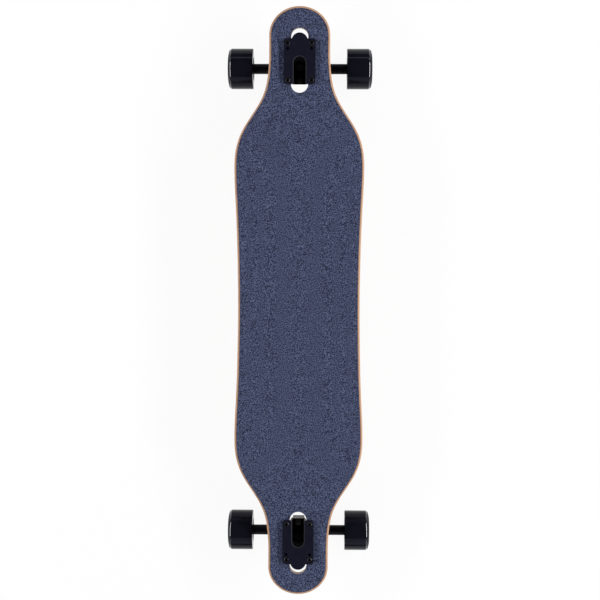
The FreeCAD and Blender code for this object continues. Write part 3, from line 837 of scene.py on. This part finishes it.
# %% [markdown]
# A lock nut is a hexagon with a round collar. Its corners are turned away at thirty degrees, which leaves
# the curved edges that every nut shows. A point of the hexagon's loops that stands outside the flats is
# moved along the nut, the furthest at the corners, which is that same cut. A bevel would flatten the curves.

# %% Make a lock nut
chamfer_slope = math.tan(math.radians(30))
round_share = 0.94
edge_drop = 0.0003
collar_step = 0.0007
collar_round = 0.0004
mouth_wide = 0.0012
mouth_narrow = 0.0008
mouth_deep = 0.0006


def lock_nut(across, hole, tall, collar):
    """The nut's steel, from its seat at 0 up to its top. hole is the radius of its bore."""
    flat = across / 2
    round_edge = flat * round_share
    collar_radius = flat - collar_step
    body = tall - collar
    shape = stack([
        (circle, hole, 0.0), (circle, round_edge, 0.0),
        (hexagon, flat, edge_drop), (hexagon, flat, body - edge_drop),
        (circle, round_edge, body), (circle, collar_radius, body),
        (circle, collar_radius, tall - collar_round), (circle, collar_radius - collar_round, tall),
        (circle, hole + mouth_wide, tall), (circle, hole + mouth_narrow, tall - mouth_deep),
        (circle, hole, tall - mouth_deep),
    ], closed=True)
    for vert in shape.verts:
        outside = math.hypot(vert.co.x, vert.co.y) - flat
        if outside > 0:
            vert.co.z += outside * chamfer_slope * (1 if vert.co.z < body / 2 else -1)
    return shape


print("lock nut corners cut at", round(math.degrees(math.atan(chamfer_slope))), "degrees")

# %% [markdown]
# The collar holds a nylon ring that grips the thread, and its pale rim shows in the collar's mouth. It is a
# piece of its own, because it is another material. The nuts of the deck, the axles and the kingpins are all
# of this kind, so one helper sets a whole group of them on their seats.

# %% Set nuts on their seats
ring_below = 0.0003
ring_tall = 0.0006
ring_wide = 0.0010
ring_gap = 0.00005
ring_lip = 0.0002
nylon_finish = cage_finish()


def nylon_ring(hole, tall):
    """The rim of the insert in a nut of this bore radius and height."""
    top = tall - ring_below
    foot = top - ring_tall
    return stack([
        (circle, hole + ring_gap, foot), (circle, hole + ring_wide, foot),
        (circle, hole + ring_wide, top), (circle, hole + ring_lip, top),
    ], closed=True)


def set_nuts(name, insert_name, body, seats, across, hole, tall, collar):
    """Lock nuts and their inserts, at seats of (place, axis). Gives the piece that is the steel."""
    steel = join([placed(lock_nut(across, hole, tall, collar), *seat) for seat in seats])
    nylon = join([placed(nylon_ring(hole, tall), *seat) for seat in seats])
    piece = new_piece(name, steel, finishes["zinc_steel"], body)
    new_piece(insert_name, nylon, nylon_finish, body)
    return piece


print("nylon rings", round(ring_tall * 1000, 1), "mm tall")

# %% [markdown]
# Where a bolt or a kingpin comes out of its nut, its thread shows. A thread is one ridge that climbs as it
# goes round, so a bent line is spun with a small rise at every step. A texture could hint at it, but the
# outline would stay smooth. The ridge is an open strip, so its faces are turned outwards one by one.

# %% Make a thread
ridge_root = 0.0001
ridge_crest = 0.00022
ridge_middle = 0.45
ridge_end = 0.9
steps_in_turn = 28
least_steps = 12
thread_stop = 0.0002


def thread(radius, pitch, length):
    """A helical ridge on a shaft, from 0 up to its length."""
    shape = bmesh.new()
    root = radius - ridge_root
    turns = (length - pitch) / pitch
    steps = max(least_steps, round(steps_in_turn * turns))
    corners = [(root, 0.0), (radius + ridge_crest, pitch * ridge_middle), (root, pitch * ridge_end)]
    profile = [shape.verts.new((r, 0.0, z)) for r, z in corners]
    lines = [shape.edges.new(pair) for pair in zip(profile, profile[1:])]
    bmesh.ops.spin(
        shape, geom=profile + lines, cent=(0, 0, 0), axis=(0, 0, 1), angle=2 * math.pi * turns,
        steps=steps, dvec=(0, 0, pitch * turns / steps), use_merge=False,
    )
    bmesh.ops.recalc_face_normals(shape, faces=shape.faces)
    for face in shape.faces:
        middle = face.calc_center_median()
        if face.normal.x * middle.x + face.normal.y * middle.y < 0:
            face.normal_flip()
    return shape


print("threads stand", round((ridge_root + ridge_crest) * 1000, 2), "mm from root to crest")

# %% [markdown]
# The deck bolts are countersunk, with a hexagon socket. A narrow chamfer round the head leaves a groove
# against the plate, so that each head reads as a ring from above. All eight are one stack of loops, set at
# the corners of the trucks' hole patterns.

# %% Make the deck bolts
bolt_low, bolt_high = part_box("mounting_bolts")
mount_low, mount_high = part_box("mounting_nuts")
bolt_radius = 0.0024
bolt_pitch = 0.0008
bolt_end_chamfer = 0.0004
head_radius = 0.0047
head_rim_radius = 0.0042
head_face_radius = 0.0036
head_chamfer = 0.0004
head_drop = 0.0023
socket_flat = 0.0016
socket_deep = 0.0022
socket_chamfer = 0.0003
socket_mouth = socket_flat * 1.28
bolt_across = 0.0413
bolt_along = 0.0635
truck_y = bolt_high.y - head_radius - bolt_along / 2
truck_ends = {"front": 1, "rear": -1}
bolt_places = [
    (x * bolt_across / 2, end * truck_y + y * bolt_along / 2)
    for end in truck_ends.values() for x in (-1, 1) for y in (-1, 1)
]
up = (0, 0, 1)


def deck_bolt():
    """A bolt with its head's face at 0 and its shank down -Z."""
    end = bolt_low.z - bolt_high.z
    return stack([
        (hexagon, socket_flat, -socket_deep), (hexagon, socket_flat, -socket_chamfer),
        (circle, socket_mouth, 0.0), (circle, head_face_radius, 0.0),
        (circle, head_rim_radius, -head_chamfer), (circle, bolt_radius, -head_drop),
        (circle, bolt_radius, end + bolt_end_chamfer), (circle, bolt_radius - bolt_end_chamfer, end),
    ])


tail = mount_low.z - bolt_low.z - thread_stop
bolts = [placed(deck_bolt(), (x, y, bolt_high.z), up) for x, y in bolt_places]
tails = [placed(thread(bolt_radius, bolt_pitch, tail), (x, y, bolt_low.z), up) for x, y in bolt_places]
bolt_piece = new_piece("deck_bolts", join(bolts + tails), bolt_finish(), "board")
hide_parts("mounting_bolts")
print("deck bolts:", len(bolt_places), "truck centres at", round(truck_y, 4))

# %% [markdown]
# Under the deck a lock nut closes each bolt. Its seat faces up, against the washer, so the nut is turned to
# point down. A separate upside-down nut would need a second set of loops.

# %% Make the deck nuts
down = (0, 0, -1)
deck_nut_across = 0.0095
deck_nut_tall = mount_high.z - mount_low.z
deck_nut_collar = 0.0025

seats = [((x, y, mount_high.z), down) for x, y in bolt_places]
nut_piece = set_nuts(
    "deck_nuts", "deck_nut_inserts", "board", seats,
    deck_nut_across, bolt_radius, deck_nut_tall, deck_nut_collar,
)
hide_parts("mounting_nuts")
print("deck nuts:", len(seats), "of", round(deck_nut_tall * 1000, 2), "mm")

# %% [markdown]
# The axle nuts close each end of the axle. Each sits in the wheel's outer mouth, where the bearing's face
# shows round it. The kingpin nut is the same kind of nut on the kingpin's slope, under the lower bushing.
# That slope is square to the steering axis, so it comes from the joint in the record and isn't typed in
# twice.

# %% Make the axle and kingpin nuts
axle_nut_across = 0.0127
axle_nut_tall = 0.0070
axle_radius = 0.0040
kingpin_nut_across = 0.0143
kingpin_nut_tall = 0.0095
kingpin_nut_station = 0.0185
kingpin_radius = 0.00475
kingpin_pitch = 0.00106
kingpin_tail = 0.0030
large_nut_collar = 0.0028
joints = {joint["name"]: joint for joint in frame["record"]["behaviour"]["joints"]}

for truck, end in truck_ends.items():
    _, nut_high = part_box(truck + "_axle_nuts")
    seat_x = nut_high.x - axle_nut_tall
    seats = [((side * seat_x, end * axle_y, axle_z), (side, 0, 0)) for side in (-1, 1)]
    nut_piece = set_nuts(
        truck + "_axle_lock_nuts", truck + "_axle_nut_inserts", truck + "_truck", seats,
        axle_nut_across, axle_radius, axle_nut_tall, large_nut_collar,
    )
    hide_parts(truck + "_axle_nuts")

    steer = joints[truck + "_steer"]
    pin = Vector(steer["axis"]).cross(Vector((end, 0, 0)))
    seat = Vector(steer["pos_m"]) + pin * kingpin_nut_station
    nut_piece = set_nuts(
        truck + "_kingpin_lock_nut", truck + "_kingpin_nut_insert", "board", [(seat, pin)],
        kingpin_nut_across, kingpin_radius, kingpin_nut_tall, large_nut_collar,
    )
    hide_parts(truck + "_kingpin_nut")
    ridge = thread(kingpin_radius, kingpin_pitch, kingpin_tail - thread_stop)
    ridge = placed(ridge, seat + pin * kingpin_nut_tall, pin)
    new_piece(truck + "_kingpin_thread", ridge, finishes["black_steel"], "board")
print("lock nuts:", 2 * len(truck_ends), "on the axles,", len(truck_ends), "on the kingpins")

# %% [markdown]
# On the floor of each base plate's trough stands a low round pad, faced on a mill before assembly. Its bare
# metal is a little paler than the coat round it. A turned disc with a chamfered rim lies over the plain one
# of the CAD model and stands for the cut face. Colour alone would lack the bright line of the rim.

# %% Face the trough pads
pad_radius = 0.0055
pad_foot = -0.0016
pad_rim = 0.0001
pad_face = 0.0003
pad_chamfer = 0.0004
pad_centre = 0.0006
pad_from_truck = 0.0309
pad_below_plate = 0.0230
pad_z = plate_high.z - pad_below_plate
milled_finish = metal_finish(
    "milled_casting", colour=(0.065, 0.062, 0.061), rings=1800.0, depth=0.00001, rough=(0.40, 0.55),
)

for truck, end in truck_ends.items():
    pad = stack([
        (circle, pad_radius, pad_foot), (circle, pad_radius, pad_rim),
        (circle, pad_radius - pad_chamfer, pad_face), (circle, pad_centre, pad_face),
    ])
    pad = placed(pad, (0, end * (truck_y - pad_from_truck), pad_z), up)
    new_piece(truck + "_milled_pad", pad, milled_finish, "board")
print("milled pads at z", round(pad_z, 4))

# %% [markdown]
# A spring clip holds each bearing shield in its race. It is a thin wire bent almost all the way round, so
# its gap shows. A small rectangle spun by most of a turn makes it, where a whole ring would need its gap cut
# out.

# %% Make the shield clips
clip_radius = 0.0088
clip_wire = 0.00045
clip_rise = clip_wire * 0.6
clip_turn = math.radians(334)
clip_steps = 40


def shield_clip():
    """A round clip about +Z, lying on the plane z = 0."""
    shape = bmesh.new()
    inner = clip_radius - clip_wire / 2
    outer = clip_radius + clip_wire / 2
    corners = [(inner, 0.0), (outer, 0.0), (outer, clip_rise), (inner, clip_rise)]
    profile = [shape.verts.new((r, 0.0, z)) for r, z in corners]
    section = shape.faces.new(profile)
    bmesh.ops.spin(
        shape, geom=[section] + list(section.edges) + profile, cent=(0, 0, 0), axis=(0, 0, 1),
        angle=clip_turn, steps=clip_steps, use_merge=False,
    )
    bmesh.ops.recalc_face_normals(shape, faces=shape.faces)
    return shape


clip_count = 0
for truck, end in truck_ends.items():
    for side in ("left", "right"):
        corner = truck + "_" + side
        shield_low, shield_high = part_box(corner + "_bearing_shields")
        faces = ((shield_high.x, 1), (shield_low.x, -1))
        clips = join([placed(shield_clip(), (x, end * axle_y, axle_z), (way, 0, 0)) for x, way in faces])
        wheel = corner + "_wheel"
        new_piece(corner + "_shield_clips", clips, finishes["bearing_steel"], wheel)
        clip_count += len(faces)
print("shield clips:", clip_count)
